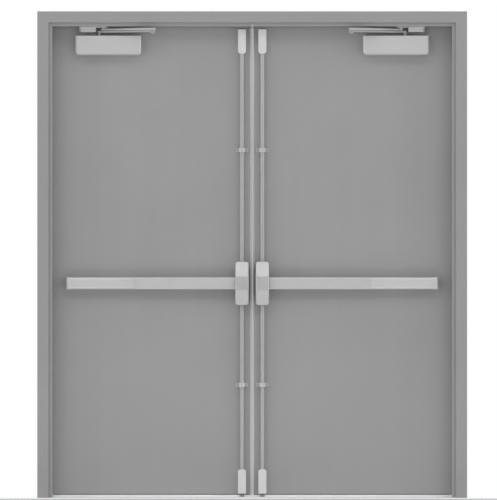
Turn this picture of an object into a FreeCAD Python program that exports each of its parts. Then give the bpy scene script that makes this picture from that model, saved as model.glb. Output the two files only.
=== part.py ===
"""A pair of steel exit doors hung in one pressed-steel frame.

Two hollow sheet-steel leaves swing away from the push side. Each leaf carries a push-rail exit device with
surface rods to a top and a bottom latch, and an overhead closer whose arm reaches a shoe under the head.
The frame is a bent-sheet section, open towards the wall, with floor clips and wall straps in its throat.

Frame of reference: millimetres, +Z up, X along the opening, the push side faces -Y.
The origin is on the floor at the middle of the opening and of the frame's depth.
Everything on one side is modelled for the left leaf (negative X) and mirrored for the right leaf.
"""
import FreeCAD
import Part
import math
import os

V = FreeCAD.Vector

# Opening and frame section
OPENING_WIDTH = 1829.0
OPENING_HEIGHT = 2134.0
FRAME_DEPTH = 146.0
FACE_WIDTH = 51.0
STOP_HEIGHT = 16.0
STOP_REVEAL = 14.0
BACKBEND = 13.0
FRAME_SHEET = 2.0
BEND_RADIUS = 4.0

# Leaves
LEAF_THICKNESS = 44.5
LEAF_INSET = 1.6
STOP_GAP = 5.0
EDGE_GAP = 5.0
MEETING_GAP = 6.0
SKIN = 1.5
SEAM_GAP = 0.6
END_CHANNEL_RECESS = 25.0
LEAF_EDGE_RADIUS = 1.2

# Threshold with a latching lip
THRESHOLD_LOW = 2.0
THRESHOLD_REACH_PUSH = 62.0
THRESHOLD_BEVEL = 14.0
LIP_FLAT = 44.0
LEAF_CLEARANCE = 5.0

# Hinges
HINGE_HEIGHT = 114.0
HINGE_PLATE = 3.0
HINGE_PLATE_WIDTH = 38.0
KNUCKLE_RADIUS = 7.5
KNUCKLE_STAND_OFF = 0.5
KNUCKLE_COUNT = 3
KNUCKLE_GAP = 0.4
PIN_RADIUS = 3.5
PIN_CLEARANCE = 0.08
HINGE_FROM_HEAD = 127.0
HINGE_FROM_FLOOR = 254.0
REINFORCEMENT = 3.0
REINFORCEMENT_MARGIN = 12.0

# Exit device
DEVICE_HEIGHT = 963.0
RAIL_HEIGHT = 48.0
RAIL_WALL = 2.5
RAIL_PROJECTION = 49.0
PAD_PROJECTION = 62.0
PAD_WALL = 2.7
PAD_LENGTH = 466.0
PAD_SKIRT = 32.0
PAD_TRAVEL = 12.5
PAD_CLEARANCE = 0.3
PAD_END_GAP = 0.6
PAD_EDGE_RADIUS = 6.0
COVER_PROJECTION = 60.0
COVER_EDGE_RADIUS = 10.0
RAIL_FROM_HINGE_EDGE = 72.0
END_CAP_LENGTH = 22.0
END_CAP_LIP = 1.0
END_CAP_RADIUS = 14.0
CASE_WIDTH = 59.0
CASE_HEIGHT = 196.0
CASE_PROJECTION = 78.0
CASE_END_PROJECTION = 53.0
CASE_FLAT = 62.0
CASE_WALL = 2.5
CASE_CORNER_RADIUS = 12.0
CASE_EDGE_BEVEL = 2.0
CASE_ENTRY = 6.0
ROD_FROM_MEETING_LINE = 46.0
ROD_OFFSET = 20.0
ROD_RADIUS = 9.0
ROD_CLEARANCE = 0.4
ROD_THROW = 10.0
ROD_ENTRY = 24.0
LATCH_WIDTH = 36.0
LATCH_DEPTH = 40.0
LATCH_HEIGHT = 109.0
LATCH_FLAT = 38.0
LATCH_SLOPE = 9.0
LATCH_TAPER = 8.0
LATCH_EDGE_BEVEL = 5.0
BOLT_SIDE = 16.0
BOLT_LENGTH = 46.0
BOLT_CLEARANCE = 0.4
BOLT_NOSE = 4.0
BOLT_SHOWING = 3.0
BOLT_END_GAP = 1.5
GUIDE_WIDTH = 54.0
GUIDE_HEIGHT = 20.0
GUIDE_BASE_HEIGHT = 16.0
GUIDE_BASE = 4.0
GUIDE_WALL = 4.0
TOP_GUIDE_HEIGHT = 1563.0
BOTTOM_GUIDE_HEIGHT = 506.0

# Strikes
STRIKE_WIDTH = 44.0
STRIKE_CLEARANCE = 1.5
LATCH_CLEARANCE = 5.0
WEAR_PLATE = 1.5
WEAR_PLATE_WIDTH = 20.0

# Meeting-edge strips
ASTRAGAL_WIDTH = 8.0
ASTRAGAL_THICKNESS = 4.0
ASTRAGAL_BEVEL = 3.0

# Closer
CLOSER_LENGTH = 295.0
CLOSER_FROM_HINGE_EDGE = 114.0
CLOSER_HEIGHT = 87.0
CLOSER_DEPTH = 58.0
CLOSER_DROP = 41.0
CLOSER_CORNER = 15.0
CLOSER_BEVEL = 6.0
CLOSER_WALL = 2.5
CASTING_INSET = 14.0
CASTING_DEPTH = 48.0
PINION_FROM_HINGE = 224.0
PINION_OFFSET = 27.0
PINION_RADIUS = 8.0
PINION_CLEARANCE = 0.1
BOSS_RADIUS = 13.0
BOSS_CLEARANCE = 1.0
SHOE_FROM_HINGE = 242.0
SHOE_LENGTH = 126.0
SHOE_WIDTH = 36.0
SHOE_PLATE = 4.0
SHOE_BLOCK_WIDTH = 26.0
SHOE_BLOCK_DEPTH = 24.0
SHOE_BLOCK_BEVEL = 7.0
SHOE_CLEARANCE = 3.0
SHOE_STUD_RADIUS = 7.0
ARM_THICKNESS = 8.0
ARM_GAP = 2.0
ARM_DROP = 9.0
ARM_HUB_RADIUS = 12.0
ELBOW_RADIUS = 13.5
ELBOW_STUD_RADIUS = 6.0
ELBOW_NUT_RADIUS = 10.0
ELBOW_NUT_HEIGHT = 6.0
ARM_CLEARANCE = 0.3

# Anchors
CLIP_SHEET = 3.0
CLIP_LENGTH = 100.0
CLIP_FOOT = 42.0
CLIP_LEG = 70.0
CLIP_HOLE_RADIUS = 5.0
CLIP_HOLE_SPACING = 60.0
STRAP_SHEET = 2.0
STRAP_HEIGHT = 50.0
STRAP_FROM_HINGE = 120.0

# Places worked out from the sizes above
HALF_OPENING = OPENING_WIDTH / 2
FRAME_FRONT = -FRAME_DEPTH / 2
FRAME_BACK = FRAME_DEPTH / 2
RABBET_DEPTH = LEAF_INSET + LEAF_THICKNESS + STOP_GAP
STOP_FRONT = FRAME_FRONT + STOP_REVEAL
STOP_BACK = FRAME_BACK - RABBET_DEPTH
SOFFIT = OPENING_HEIGHT - STOP_HEIGHT
LEAF_BACK = FRAME_BACK - LEAF_INSET
LEAF_FRONT = LEAF_BACK - LEAF_THICKNESS
LEAF_MIDDLE = (LEAF_FRONT + LEAF_BACK) / 2
LEAF_TOP = OPENING_HEIGHT - EDGE_GAP
LATCH_REACH = ROD_THROW - LATCH_CLEARANCE
KEEPER_DROP = LATCH_REACH + BOLT_END_GAP
THRESHOLD_LIP = THRESHOLD_LOW + LATCH_REACH + BOLT_END_GAP
LEAF_BOTTOM = THRESHOLD_LIP + LEAF_CLEARANCE
HINGE_EDGE = -HALF_OPENING + EDGE_GAP
MEETING_EDGE = -MEETING_GAP / 2
HINGE_X = -HALF_OPENING + EDGE_GAP / 2
HINGE_Y = FRAME_BACK + KNUCKLE_RADIUS + KNUCKLE_STAND_OFF
TOP_HINGE = OPENING_HEIGHT - HINGE_FROM_HEAD - HINGE_HEIGHT / 2
BOTTOM_HINGE = HINGE_FROM_FLOOR + HINGE_HEIGHT / 2
HINGE_LEVELS = (BOTTOM_HINGE, (BOTTOM_HINGE + TOP_HINGE) / 2, TOP_HINGE)
ROD_X = -ROD_FROM_MEETING_LINE
ROD_Y = LEAF_FRONT - ROD_OFFSET
STRIKE_LINE = ROD_Y + BOLT_SIDE / 2 + STRIKE_CLEARANCE
LIP_FRONT = STRIKE_LINE + WEAR_PLATE
CASE_INNER_X = ROD_X - CASE_WIDTH / 2
PAD_END = CASE_INNER_X + CASE_ENTRY
PAD_START = PAD_END - PAD_LENGTH
COVER_END = PAD_START - PAD_END_GAP
COVER_START = HINGE_EDGE + RAIL_FROM_HINGE_EDGE + END_CAP_LENGTH
COVER_LENGTH = COVER_END - COVER_START
TOP_LATCH_TOP = SOFFIT - KEEPER_DROP - LATCH_CLEARANCE
BOTTOM_BOLT_TIP = THRESHOLD_LIP + LATCH_CLEARANCE
BOTTOM_LATCH_BOTTOM = BOTTOM_BOLT_TIP + BOLT_SHOWING
CLOSER_X0 = HINGE_EDGE + CLOSER_FROM_HINGE_EDGE
CLOSER_TOP = SOFFIT - CLOSER_DROP
FOREARM_TOP = SOFFIT - ARM_DROP
FOREARM_BOTTOM = FOREARM_TOP - ARM_THICKNESS
ARM_TOP = FOREARM_BOTTOM - ARM_GAP
ARM_BOTTOM = ARM_TOP - ARM_THICKNESS

# The closer's four pivots form a parallelogram, so its links turn in step with the leaf
HINGE_POINT = V(HINGE_X, HINGE_Y, 0)
PINION_POINT = V(HINGE_X + PINION_FROM_HINGE, LEAF_FRONT - PINION_OFFSET, 0)
SHOE_POINT = V(HINGE_X + SHOE_FROM_HINGE, 0, 0)
ELBOW_POINT = PINION_POINT + SHOE_POINT - HINGE_POINT


def slab(x0, x1, y0, y1, z0, z1):
    """A plain block between two corners."""
    return Part.makeBox(x1 - x0, y1 - y0, z1 - z0, V(x0, y0, z0))


def prism(points, along):
    """A closed outline of points, pushed along a vector."""
    return Part.Face(Part.makePolygon(points + points[:1])).extrude(along)


def rod(x, y, z0, z1, radius):
    """An upright cylinder."""
    return Part.makeCylinder(radius, z1 - z0, V(x, y, z0), V(0, 0, 1))


def upright_edges(shape, places, tolerance=0.01):
    """The upright edges of a shape that stand at the given (x, y) places."""
    found = []
    for edge in shape.Edges:
        a = edge.Vertexes[0].Point
        b = edge.Vertexes[-1].Point
        if abs(a.x - b.x) > tolerance or abs(a.y - b.y) > tolerance:
            continue
        if any(abs(a.x - x) < tolerance and abs(a.y - y) < tolerance for x, y in places):
            found.append(edge)
    return found


def mirrored(shape):
    """The right-hand copy of a left-hand shape."""
    return shape.mirror(V(0, 0, 0), V(1, 0, 0))


def both_sides(shapes):
    """Left-hand shapes together with their right-hand copies, in one compound."""
    return Part.makeCompound(list(shapes) + [mirrored(shape) for shape in shapes])


# Frame

def frame_section():
    """The bent sheet as (u, v) points: u away from the opening, v through the wall."""
    sheet = FRAME_SHEET
    outside = [
        (FACE_WIDTH, FRAME_FRONT + BACKBEND), (FACE_WIDTH, FRAME_FRONT), (0, FRAME_FRONT), (0, STOP_FRONT),
        (-STOP_HEIGHT, STOP_FRONT), (-STOP_HEIGHT, STOP_BACK), (0, STOP_BACK), (0, FRAME_BACK),
        (FACE_WIDTH, FRAME_BACK), (FACE_WIDTH, FRAME_BACK - BACKBEND),
    ]
    inside = [
        (FACE_WIDTH - sheet, FRAME_BACK - BACKBEND), (FACE_WIDTH - sheet, FRAME_BACK - sheet),
        (sheet, FRAME_BACK - sheet), (sheet, STOP_BACK - sheet), (sheet - STOP_HEIGHT, STOP_BACK - sheet),
        (sheet - STOP_HEIGHT, STOP_FRONT + sheet), (sheet, STOP_FRONT + sheet), (sheet, FRAME_FRONT + sheet),
        (FACE_WIDTH - sheet, FRAME_FRONT + sheet), (FACE_WIDTH - sheet, FRAME_FRONT + BACKBEND),
    ]
    return outside + inside


def bend_places():
    """The outside corners of the section that show a bend."""
    return [(FACE_WIDTH, FRAME_FRONT), (0, FRAME_FRONT), (-STOP_HEIGHT, STOP_FRONT),
            (-STOP_HEIGHT, STOP_BACK), (0, FRAME_BACK), (FACE_WIDTH, FRAME_BACK)]


def frame_length(length):
    """A straight length of the frame section along +Z, in (u, v) as (x, y), with its bends rounded."""
    blank = prism([V(u, v, 0) for u, v in frame_section()], V(0, 0, length))
    return blank.makeFillet(BEND_RADIUS, upright_edges(blank, bend_places()))


def mitre_waste(above):
    """The corner block above or below the left mitre line, in jamb (u, z) with z from the opening's top."""
    reach = FACE_WIDTH + STOP_HEIGHT
    low = -STOP_HEIGHT - reach
    high = FACE_WIDTH + reach
    third = (low, high) if above else (high, low)
    outline = [V(low, 2 * FRAME_FRONT, low), V(high, 2 * FRAME_FRONT, high),
               V(third[0], 2 * FRAME_FRONT, third[1])]
    return prism(outline, V(0, 2 * FRAME_DEPTH, 0))


def left_jamb():
    """The hinge jamb: mitred at the head, with three reinforced recesses for the hinges."""
    jamb = frame_length(OPENING_HEIGHT + FACE_WIDTH)
    waste = mitre_waste(above=True)
    waste.translate(V(0, 0, OPENING_HEIGHT))
    jamb = jamb.cut(waste)
    half = HINGE_HEIGHT / 2
    inner = FRAME_BACK - HINGE_PLATE_WIDTH
    for level in HINGE_LEVELS:
        backing = slab(FRAME_SHEET / 2, HINGE_PLATE + REINFORCEMENT, inner - REINFORCEMENT_MARGIN,
                       FRAME_BACK - FRAME_SHEET / 2, level - half - REINFORCEMENT_MARGIN,
                       level + half + REINFORCEMENT_MARGIN)
        recess = slab(0, HINGE_PLATE, inner, FRAME_BACK + FRAME_SHEET, level - half, level + half)
        jamb = jamb.fuse(backing).cut(recess)
    jamb = jamb.removeSplitter().mirror(V(0, 0, 0), V(1, 0, 0))
    jamb.translate(V(-HALF_OPENING, 0, 0))
    return jamb


def head_jamb():
    """The head, mitred to both jambs."""
    full = OPENING_WIDTH + 2 * FACE_WIDTH
    head = frame_length(full)
    head.rotate(V(0, 0, 0), V(0, 1, 0), -90)
    head.translate(V(full / 2, 0, 0))
    left_waste = mitre_waste(above=False).mirror(V(0, 0, 0), V(1, 0, 0))
    left_waste.translate(V(-HALF_OPENING, 0, 0))
    head = head.cut(left_waste).cut(mirrored(left_waste))
    head.translate(V(0, 0, OPENING_HEIGHT))
    return head


def floor_clip():
    """The bent clip in the foot of the left jamb, with two bolt holes in its foot."""
    x1 = -HALF_OPENING - FRAME_SHEET
    x0 = x1 - CLIP_FOOT
    half = CLIP_LENGTH / 2
    clip = slab(x0, x1, -half, half, 0, CLIP_SHEET).fuse(slab(x1 - CLIP_SHEET, x1, -half, half, 0, CLIP_LEG))
    for side in (-1, 1):
        y = side * CLIP_HOLE_SPACING / 2
        clip = clip.cut(rod(clip_hole_x(), y, -1, CLIP_SHEET + 1, CLIP_HOLE_RADIUS))
    return clip.removeSplitter()


def clip_hole_x():
    """The middle of the free part of the clip's foot."""
    return -HALF_OPENING - FRAME_SHEET - (CLIP_FOOT + CLIP_SHEET) / 2


def wall_straps():
    """Flat straps welded across the left jamb's throat, below, between and above the hinges."""
    x1 = -HALF_OPENING - FRAME_SHEET
    low, middle, high = HINGE_LEVELS
    levels = (low - STRAP_FROM_HINGE, (low + middle) / 2, (middle + high) / 2, high + STRAP_FROM_HINGE)
    return [slab(x1 - STRAP_SHEET, x1, FRAME_FRONT + FRAME_SHEET, FRAME_BACK - FRAME_SHEET,
                 level - STRAP_HEIGHT / 2, level + STRAP_HEIGHT / 2) for level in levels]


def sill_length(outline):
    """A (y, z) outline run from stop to stop."""
    half = HALF_OPENING - STOP_HEIGHT
    return prism([V(-half, y, z) for y, z in outline], V(2 * half, 0, 0))


def threshold():
    """The sill's base plate, bevelled along both sides."""
    front = -THRESHOLD_REACH_PUSH
    return sill_length([(front, 0), (front + THRESHOLD_BEVEL, THRESHOLD_LOW),
                        (FRAME_BACK, THRESHOLD_LOW), (FRAME_BACK + THRESHOLD_BEVEL, 0)])


def sill_lip():
    """The raised strip under the leaves that the bottom bolts latch against."""
    slope = FRAME_BACK - LIP_FRONT - LIP_FLAT
    return sill_length([(LIP_FRONT, THRESHOLD_LOW), (LIP_FRONT, THRESHOLD_LIP),
                        (LIP_FRONT + LIP_FLAT, THRESHOLD_LIP), (LIP_FRONT + LIP_FLAT + slope, THRESHOLD_LOW)])


def top_strike():
    """The keeper under the head that holds the thrown top bolt."""
    return slab(ROD_X - STRIKE_WIDTH / 2, ROD_X + STRIKE_WIDTH / 2, STRIKE_LINE, STOP_BACK,
                SOFFIT - KEEPER_DROP, SOFFIT)


def floor_strike():
    """The hard plate on the lip that takes the wear of the bottom bolt."""
    half = WEAR_PLATE_WIDTH / 2
    return slab(ROD_X - half, ROD_X + half, STRIKE_LINE, LIP_FRONT, THRESHOLD_LOW, THRESHOLD_LIP)


# Hinges

def knuckle_spans(level, own):
    """The (low, high) spans of every second knuckle, starting at the bottom one for own = 0."""
    pitch = HINGE_HEIGHT / KNUCKLE_COUNT
    bottom = level - HINGE_HEIGHT / 2
    return [(bottom + i * pitch + KNUCKLE_GAP / 2, bottom + (i + 1) * pitch - KNUCKLE_GAP / 2)
            for i in range(own, KNUCKLE_COUNT, 2)]


def hinge_leaf(level, x0, x1, y1, own):
    """One plate of a butt hinge with its knuckles, before the pin's hole."""
    plate = slab(x0, x1, y1 - HINGE_PLATE_WIDTH, y1, level - HINGE_HEIGHT / 2, level + HINGE_HEIGHT / 2)
    for low, high in knuckle_spans(level, own):
        plate = plate.fuse(slab(x0, x1, y1 - HINGE_PLATE, HINGE_Y, low, high))
        plate = plate.fuse(rod(HINGE_X, HINGE_Y, low, high, KNUCKLE_RADIUS))
    return plate


def frame_hinge_leaves():
    """The three plates let into the left jamb, each with its pin fixed in its knuckles."""
    leaves = []
    for level in HINGE_LEVELS:
        spans = knuckle_spans(level, 0)
        leaf = hinge_leaf(level, -HALF_OPENING - HINGE_PLATE, -HALF_OPENING, FRAME_BACK, 0)
        pin = rod(HINGE_X, HINGE_Y, spans[0][0], spans[-1][1], PIN_RADIUS)
        leaves.append(leaf.fuse(pin).removeSplitter())
    return leaves


def door_hinge_leaves():
    """The three plates let into the left leaf's edge, bored to turn on the pins."""
    leaves = []
    for level in HINGE_LEVELS:
        leaf = hinge_leaf(level, HINGE_EDGE, HINGE_EDGE + HINGE_PLATE, LEAF_BACK, 1)
        bore = rod(HINGE_X, HINGE_Y, level - HINGE_HEIGHT, level + HINGE_HEIGHT, PIN_RADIUS + PIN_CLEARANCE)
        leaves.append(leaf.cut(bore).removeSplitter())
    return leaves


# Leaf

def hinge_recess(shape):
    """Lets the three hinge plates into a leaf's edge."""
    for level in HINGE_LEVELS:
        shape = shape.cut(slab(HINGE_EDGE - 1, HINGE_EDGE + HINGE_PLATE, LEAF_BACK - HINGE_PLATE_WIDTH,
                               LEAF_BACK + 1, level - HINGE_HEIGHT / 2, level + HINGE_HEIGHT / 2))
    return shape


def leaf_skin(face, inward):
    """One face sheet with its two edge returns, which stop at the seam half way through the leaf."""
    seam = LEAF_MIDDLE - inward * SEAM_GAP / 2
    inner = face + inward * SKIN
    outline = [(HINGE_EDGE, face), (MEETING_EDGE, face), (MEETING_EDGE, seam), (MEETING_EDGE - SKIN, seam),
               (MEETING_EDGE - SKIN, inner), (HINGE_EDGE + SKIN, inner), (HINGE_EDGE + SKIN, seam),
               (HINGE_EDGE, seam)]
    pan = prism([V(x, y, LEAF_BOTTOM) for x, y in outline], V(0, 0, LEAF_TOP - LEAF_BOTTOM))
    pan = pan.makeFillet(LEAF_EDGE_RADIUS, upright_edges(pan, [(HINGE_EDGE, face), (MEETING_EDGE, face)]))
    return hinge_recess(pan)


def end_channel(z0, z1, web0, web1):
    """A channel that closes the leaf's top or bottom, set below the edge."""
    x0, x1 = HINGE_EDGE + SKIN, MEETING_EDGE - SKIN
    y0, y1 = LEAF_FRONT + SKIN, LEAF_BACK - SKIN
    block = slab(x0, x1, y0, y1, z0, z1)
    return block.cut(slab(x0, x1, y0 + SKIN, y1 - SKIN, web0, web1))


def end_channels():
    """The top and bottom channels of the leaf."""
    low = LEAF_TOP - END_CHANNEL_RECESS
    high = LEAF_BOTTOM + END_CHANNEL_RECESS
    return [end_channel(low, LEAF_TOP, low + SKIN, LEAF_TOP),
            end_channel(LEAF_BOTTOM, high, LEAF_BOTTOM, high - SKIN)]


def astragal():
    """The slim strip along the meeting edge, bevelled towards the leaf."""
    x0 = MEETING_EDGE - ASTRAGAL_WIDTH
    y0 = LEAF_FRONT - ASTRAGAL_THICKNESS
    outline = [(x0, LEAF_FRONT), (x0 + ASTRAGAL_BEVEL, y0), (MEETING_EDGE, y0), (MEETING_EDGE, LEAF_FRONT)]
    return prism([V(x, y, LEAF_BOTTOM) for x, y in outline], V(0, 0, LEAF_TOP - STOP_HEIGHT - LEAF_BOTTOM))


# Exit device

def rail():
    """The channel screwed to the leaf, open towards the push side."""
    half = RAIL_HEIGHT / 2
    x0, x1 = COVER_START, PAD_END
    y0 = LEAF_FRONT - RAIL_PROJECTION
    block = slab(x0, x1, y0, LEAF_FRONT, DEVICE_HEIGHT - half, DEVICE_HEIGHT + half)
    return block.cut(slab(x0, x1, y0, LEAF_FRONT - RAIL_WALL,
                          DEVICE_HEIGHT - half + RAIL_WALL, DEVICE_HEIGHT + half - RAIL_WALL))


def rounded_bar(x0, x1, half, y0, radius):
    """A bar on the leaf's face whose two long front edges are rounded."""
    block = slab(x0, x1, y0, LEAF_FRONT, DEVICE_HEIGHT - half, DEVICE_HEIGHT + half)
    front = [edge for edge in block.Edges if all(abs(v.Point.y - y0) < 0.01 for v in edge.Vertexes)
             and abs(edge.Vertexes[0].Point.x - edge.Vertexes[-1].Point.x) > 0.01]
    return block.makeFillet(radius, front)


def push_pad():
    """The pad that slides over the rail when it is pushed."""
    inner = RAIL_HEIGHT / 2 + PAD_CLEARANCE
    outer = inner + PAD_WALL
    y0 = LEAF_FRONT - PAD_PROJECTION
    bar = rounded_bar(PAD_START, PAD_END, outer, y0, PAD_EDGE_RADIUS)
    skirt = y0 + PAD_SKIRT
    back = slab(PAD_START, PAD_END, skirt, LEAF_FRONT, DEVICE_HEIGHT - outer, DEVICE_HEIGHT + outer)
    hollow = slab(PAD_START, PAD_END, y0 + PAD_WALL, skirt, DEVICE_HEIGHT - inner, DEVICE_HEIGHT + inner)
    return bar.cut(back).cut(hollow)


def rail_cover():
    """The fixed cover over the hinge end of the rail."""
    half = RAIL_HEIGHT / 2
    wall = PAD_CLEARANCE + PAD_WALL
    y0 = LEAF_FRONT - COVER_PROJECTION
    skin = rounded_bar(COVER_START, COVER_END, half + wall, y0, COVER_EDGE_RADIUS)
    return skin.cut(rounded_bar(COVER_START, COVER_END, half, y0 + wall, COVER_EDGE_RADIUS - wall))


def rail_end_cap():
    """The cap that closes the hinge end of the rail, rounded at its outer end."""
    half = RAIL_HEIGHT / 2 + PAD_CLEARANCE + PAD_WALL + END_CAP_LIP
    x0 = COVER_START - END_CAP_LENGTH
    y0 = LEAF_FRONT - COVER_PROJECTION - END_CAP_LIP
    turn = slab(x0, COVER_START, y0, LEAF_FRONT, DEVICE_HEIGHT - half, DEVICE_HEIGHT + half)
    turn = turn.makeFillet(END_CAP_RADIUS, upright_edges(turn, [(x0, y0)]))
    return turn.common(rounded_bar(x0, COVER_START, half, y0, COVER_EDGE_RADIUS))


def case_form(inset, corner):
    """The centre case's block, drawn in by inset on all sides but the back; corner shapes its corners."""
    half = CASE_HEIGHT / 2 - inset
    flat = CASE_FLAT / 2
    width = CASE_WIDTH - 2 * inset
    y_end = LEAF_FRONT - CASE_END_PROJECTION + inset
    y_front = LEAF_FRONT - CASE_PROJECTION + inset
    outline = [(LEAF_FRONT, -half), (y_end, -half), (y_front, -flat), (y_front, flat), (y_end, half),
               (LEAF_FRONT, half)]
    block = prism([V(ROD_X - width / 2, y, DEVICE_HEIGHT + z) for y, z in outline], V(width, 0, 0))
    corners = []
    for edge in block.Edges:
        span = edge.Vertexes[0].Point - edge.Vertexes[-1].Point
        if abs(span.y) > 0.01 and abs(span.z) < 0.01:
            corners.append(edge)
    return corner(block, corners)


def case_rim(form):
    """The edges round the case's front, without the two creases across it."""
    y_front = LEAF_FRONT - CASE_PROJECTION
    rim = []
    for edge in form.Edges:
        ends = [vertex.Point for vertex in edge.Vertexes]
        across = abs(ends[0].x - ends[-1].x) > CASE_WIDTH / 2 and abs(ends[0].y - y_front) < 0.01
        if all(end.y < LEAF_FRONT - 1 for end in ends) and not across:
            rim.append(edge)
    return rim


def centre_case():
    """The hollow case at the meeting edge, open at the back, with ways in for the rail and both rods."""
    outer = case_form(0, lambda block, edges: block.makeFillet(CASE_CORNER_RADIUS, edges))
    hollow = case_form(CASE_WALL, lambda block, edges: block.makeChamfer(CASE_CORNER_RADIUS / 2, edges))
    case = outer.makeChamfer(CASE_EDGE_BEVEL, case_rim(outer)).cut(hollow)
    opening = RAIL_HEIGHT / 2 + PAD_WALL + 2 * PAD_CLEARANCE
    window = slab(CASE_INNER_X - 1, CASE_INNER_X + CASE_WALL + 1,
                  LEAF_FRONT - PAD_PROJECTION - PAD_TRAVEL - PAD_END_GAP, LEAF_FRONT,
                  DEVICE_HEIGHT - opening, DEVICE_HEIGHT + opening)
    rods = rod(ROD_X, ROD_Y, DEVICE_HEIGHT - CASE_HEIGHT, DEVICE_HEIGHT + CASE_HEIGHT,
               ROD_RADIUS + ROD_CLEARANCE)
    return case.cut(window).cut(rods)


def latch_form(outer_end, inner_end):
    """A latch case's block: flat at its outer end, then sloping back and narrowing towards its rod end."""
    up = 1 if outer_end > inner_end else -1
    half = LATCH_WIDTH / 2
    y0 = LEAF_FRONT - LATCH_DEPTH
    bevel = LATCH_EDGE_BEVEL
    plan = [(-half, LEAF_FRONT), (-half, y0 + bevel), (bevel - half, y0), (half - bevel, y0),
            (half, y0 + bevel), (half, LEAF_FRONT)]
    side = [(LEAF_FRONT, outer_end), (y0, outer_end), (y0, outer_end - up * LATCH_FLAT),
            (y0 + LATCH_SLOPE, inner_end), (LEAF_FRONT, inner_end)]
    front = [(-half, outer_end), (half, outer_end), (half, inner_end + up * LATCH_TAPER),
             (half - LATCH_TAPER, inner_end), (LATCH_TAPER - half, inner_end),
             (-half, inner_end + up * LATCH_TAPER)]
    block = prism([V(ROD_X + x, y, outer_end) for x, y in plan], V(0, 0, inner_end - outer_end))
    block = block.common(prism([V(ROD_X - half, y, z) for y, z in side], V(LATCH_WIDTH, 0, 0)))
    return block.common(prism([V(ROD_X + x, y0, z) for x, z in front], V(0, LATCH_DEPTH, 0)))


def latch_case(outer_end, inner_end):
    """A latch case between two levels, bored for the rod and squared for the bolt."""
    up = 1 if outer_end > inner_end else -1
    low, high = min(outer_end, inner_end), max(outer_end, inner_end)
    socket = BOLT_SIDE / 2 + BOLT_CLEARANCE
    depth = BOLT_LENGTH + BOLT_CLEARANCE - (BOLT_SHOWING if up < 0 else 0)
    ends = sorted((outer_end, outer_end - up * depth))
    case = latch_form(outer_end, inner_end)
    case = case.cut(slab(ROD_X - socket, ROD_X + socket, ROD_Y - socket, ROD_Y + socket, ends[0], ends[1]))
    return case.cut(rod(ROD_X, ROD_Y, low, high, ROD_RADIUS + ROD_CLEARANCE))


def latch_cases():
    """The top and bottom latch cases."""
    return [latch_case(TOP_LATCH_TOP, TOP_LATCH_TOP - LATCH_HEIGHT),
            latch_case(BOTTOM_LATCH_BOTTOM, BOTTOM_LATCH_BOTTOM + LATCH_HEIGHT)]


def bolt(tip, back):
    """A square latch bolt whose nose is bevelled on the side that meets the strike when the leaf closes."""
    low, high = min(tip, back), max(tip, back)
    half = BOLT_SIDE / 2
    body = slab(ROD_X - half, ROD_X + half, ROD_Y - half, ROD_Y + half, low, high)
    up = 1 if tip > back else -1
    nose = prism([V(ROD_X - half, ROD_Y - half, tip), V(ROD_X - half, ROD_Y - half + BOLT_NOSE, tip),
                  V(ROD_X - half, ROD_Y - half, tip - up * BOLT_NOSE)], V(BOLT_SIDE, 0, 0))
    return body.cut(nose)


def top_bolt():
    """The top latch bolt, withdrawn level with its case."""
    return bolt(TOP_LATCH_TOP, TOP_LATCH_TOP - BOLT_LENGTH)


def bottom_bolt():
    """The bottom latch bolt, withdrawn clear of the threshold's lip."""
    return bolt(BOTTOM_BOLT_TIP, BOTTOM_BOLT_TIP + BOLT_LENGTH)


def top_rod():
    """The rod from the centre case up to the top bolt."""
    foot = DEVICE_HEIGHT + CASE_HEIGHT / 2 - ROD_ENTRY
    return rod(ROD_X, ROD_Y, foot, TOP_LATCH_TOP - BOLT_LENGTH, ROD_RADIUS)


def bottom_rod():
    """The rod from the centre case down to the bottom bolt."""
    top = DEVICE_HEIGHT - CASE_HEIGHT / 2 + ROD_ENTRY
    return rod(ROD_X, ROD_Y, BOTTOM_BOLT_TIP + BOLT_LENGTH, top, ROD_RADIUS)


def rod_guide(level):
    """A saddle that holds a rod off the leaf."""
    half_base, half = GUIDE_BASE_HEIGHT / 2, GUIDE_HEIGHT / 2
    base = slab(ROD_X - GUIDE_WIDTH / 2, ROD_X + GUIDE_WIDTH / 2, LEAF_FRONT - GUIDE_BASE, LEAF_FRONT,
                level - half_base, level + half_base)
    ring = ROD_RADIUS + ROD_CLEARANCE + GUIDE_WALL
    bevel = GUIDE_WALL
    outline = [(-ring, LEAF_FRONT), (-ring, ROD_Y - ring + bevel), (bevel - ring, ROD_Y - ring),
               (ring - bevel, ROD_Y - ring), (ring, ROD_Y - ring + bevel), (ring, LEAF_FRONT)]
    saddle = base.fuse(prism([V(ROD_X + x, y, level - half) for x, y in outline], V(0, 0, GUIDE_HEIGHT)))
    bore = rod(ROD_X, ROD_Y, level - half, level + half, ROD_RADIUS + ROD_CLEARANCE)
    return saddle.cut(bore).removeSplitter()


def rod_guides():
    """The guide of the top rod and the guide of the bottom rod."""
    return [rod_guide(TOP_GUIDE_HEIGHT), rod_guide(BOTTOM_GUIDE_HEIGHT)]


# Closer

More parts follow.
